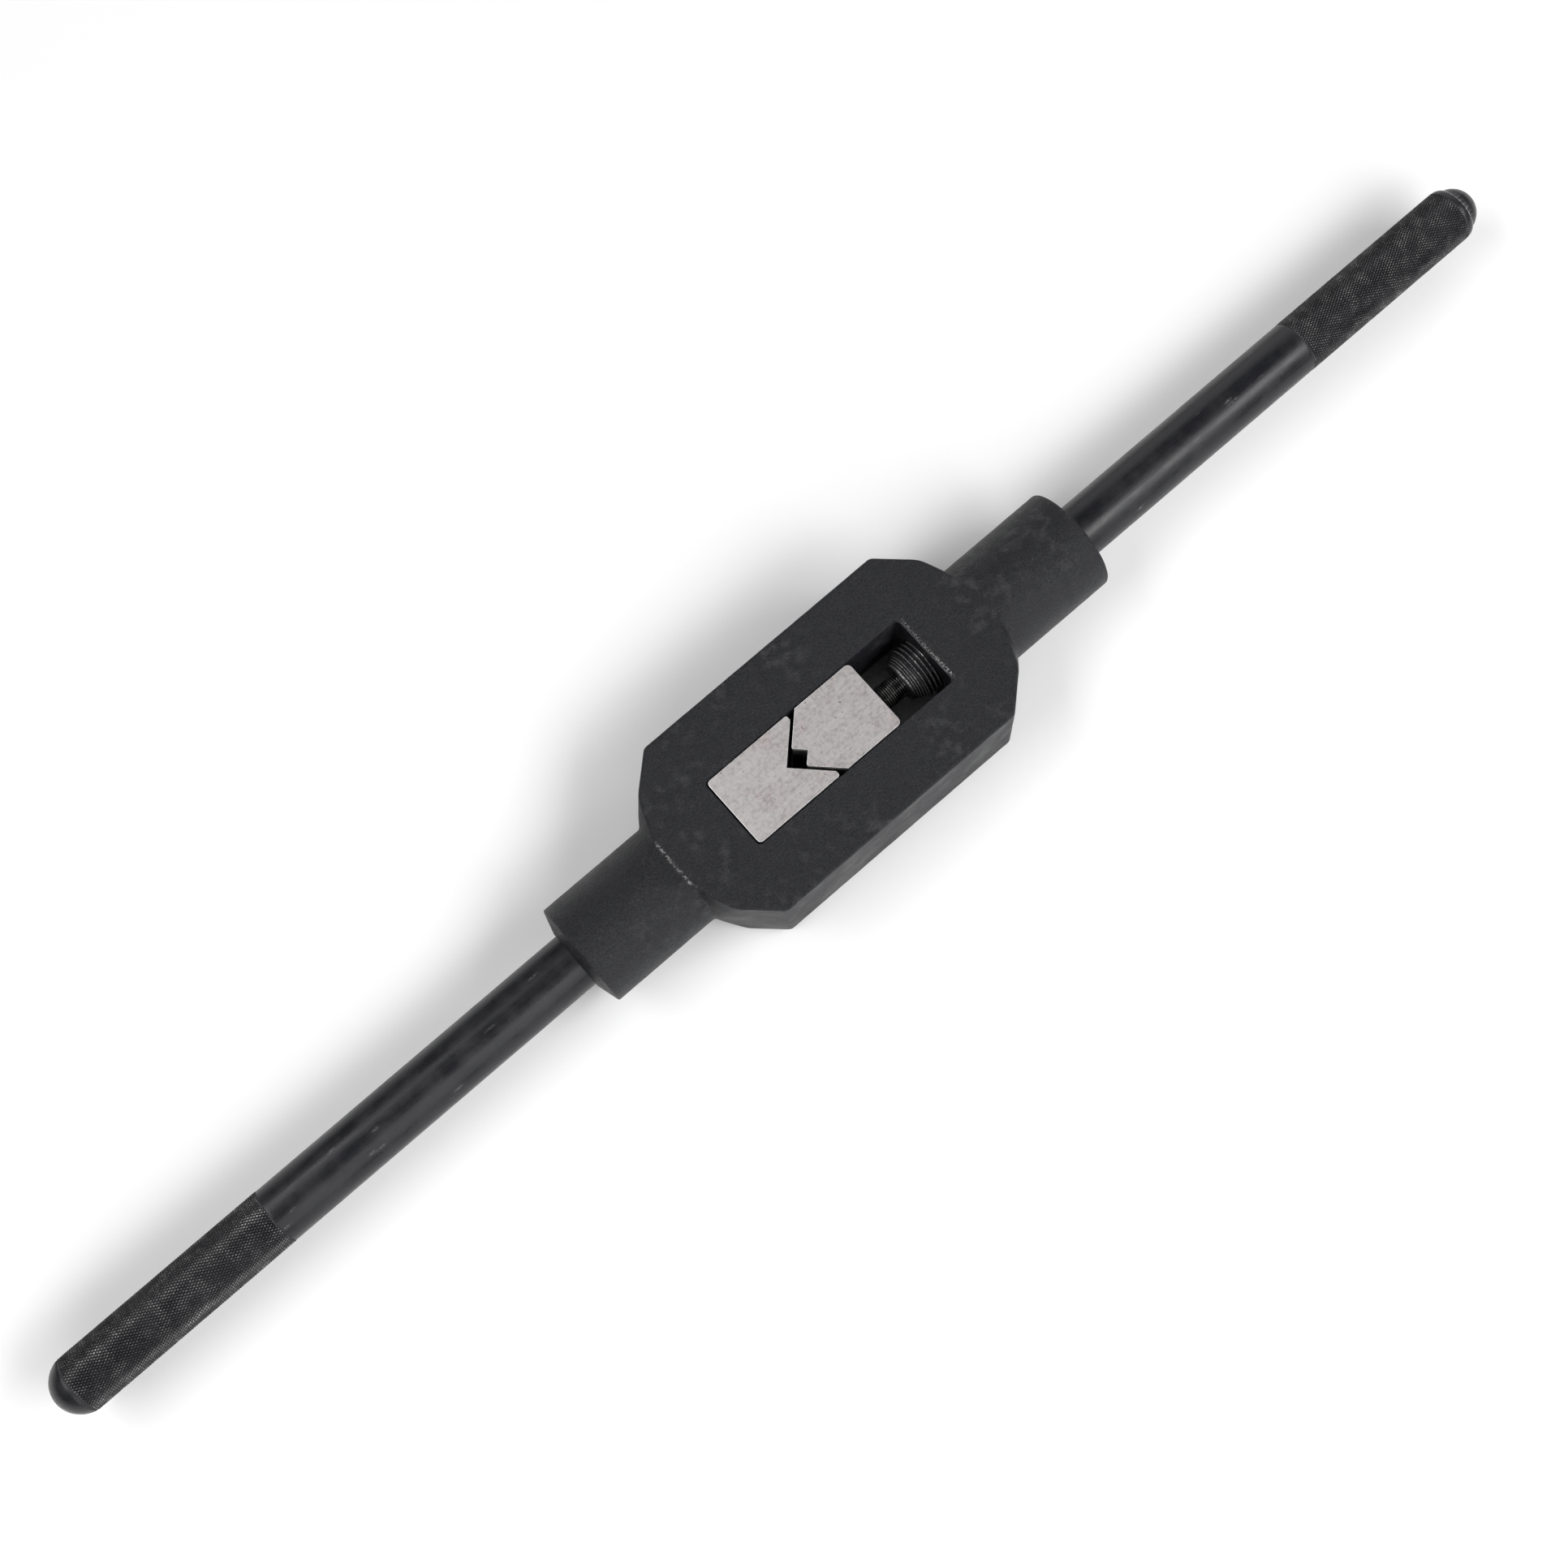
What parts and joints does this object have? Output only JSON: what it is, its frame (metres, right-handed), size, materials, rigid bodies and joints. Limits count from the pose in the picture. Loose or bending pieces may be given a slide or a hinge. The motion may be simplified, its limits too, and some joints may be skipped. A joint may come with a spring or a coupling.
{
  "type": "tap wrench",
  "caption": "Two-handled bar tap wrench: clipped-corner cast body, window with a fixed and a sliding V jaw, threaded handle that closes the jaws on a tap's square.",
  "frame": {"origin": "under the middle of the overall length, on the plane that the back plate rests on, with the bars' axis above it", "axes": "+X along the bars from the fixed handle towards the adjusting handle, +Z out of the front face, +Y across the body"},
  "size_m": [0.3742, 0.0442, 0.0234],
  "materials": {
    "cast_black": "black coated casting, fine matt grain",
    "bar_black": "satin black oxide",
    "ground_steel": "surface ground, bare",
    "dark_steel": "oiled dark steel",
    "plate_grey": "dull pressed sheet steel"
  },
  "bodies": {
    "frame": {"body": "cast_black", "back_plate": "plate_grey", "back_plate_screw_1": "dark_steel", "back_plate_screw_2": "dark_steel", "back_plate_screw_3": "dark_steel", "back_plate_screw_4": "dark_steel", "fixed_jaw": "ground_steel", "fixed_jaw_pin": "ground_steel", "fixed_handle": "bar_black"},
    "sliding_jaw": {"movable_jaw": "ground_steel"},
    "adjuster": {"adjusting_handle": "bar_black", "jaw_draw_screw": "dark_steel"}
  },
  "joints": [
    {"name": "jaw_slide", "type": "slide", "parent": "frame", "child": "sliding_jaw", "axis": [1, 0, 0], "range_m": [-0.0009, 0.0125]},
    {"name": "handle_spin", "type": "hinge", "parent": "sliding_jaw", "child": "adjuster", "pos_m": [0.0084, 0, 0.0118], "axis": [1, 0, 0], "range_deg": [-325, 4501]}
  ],
  "couplings": [
    {"joint": "handle_spin", "follows": "jaw_slide", "rad_per_m": 6283.2}
  ]
}
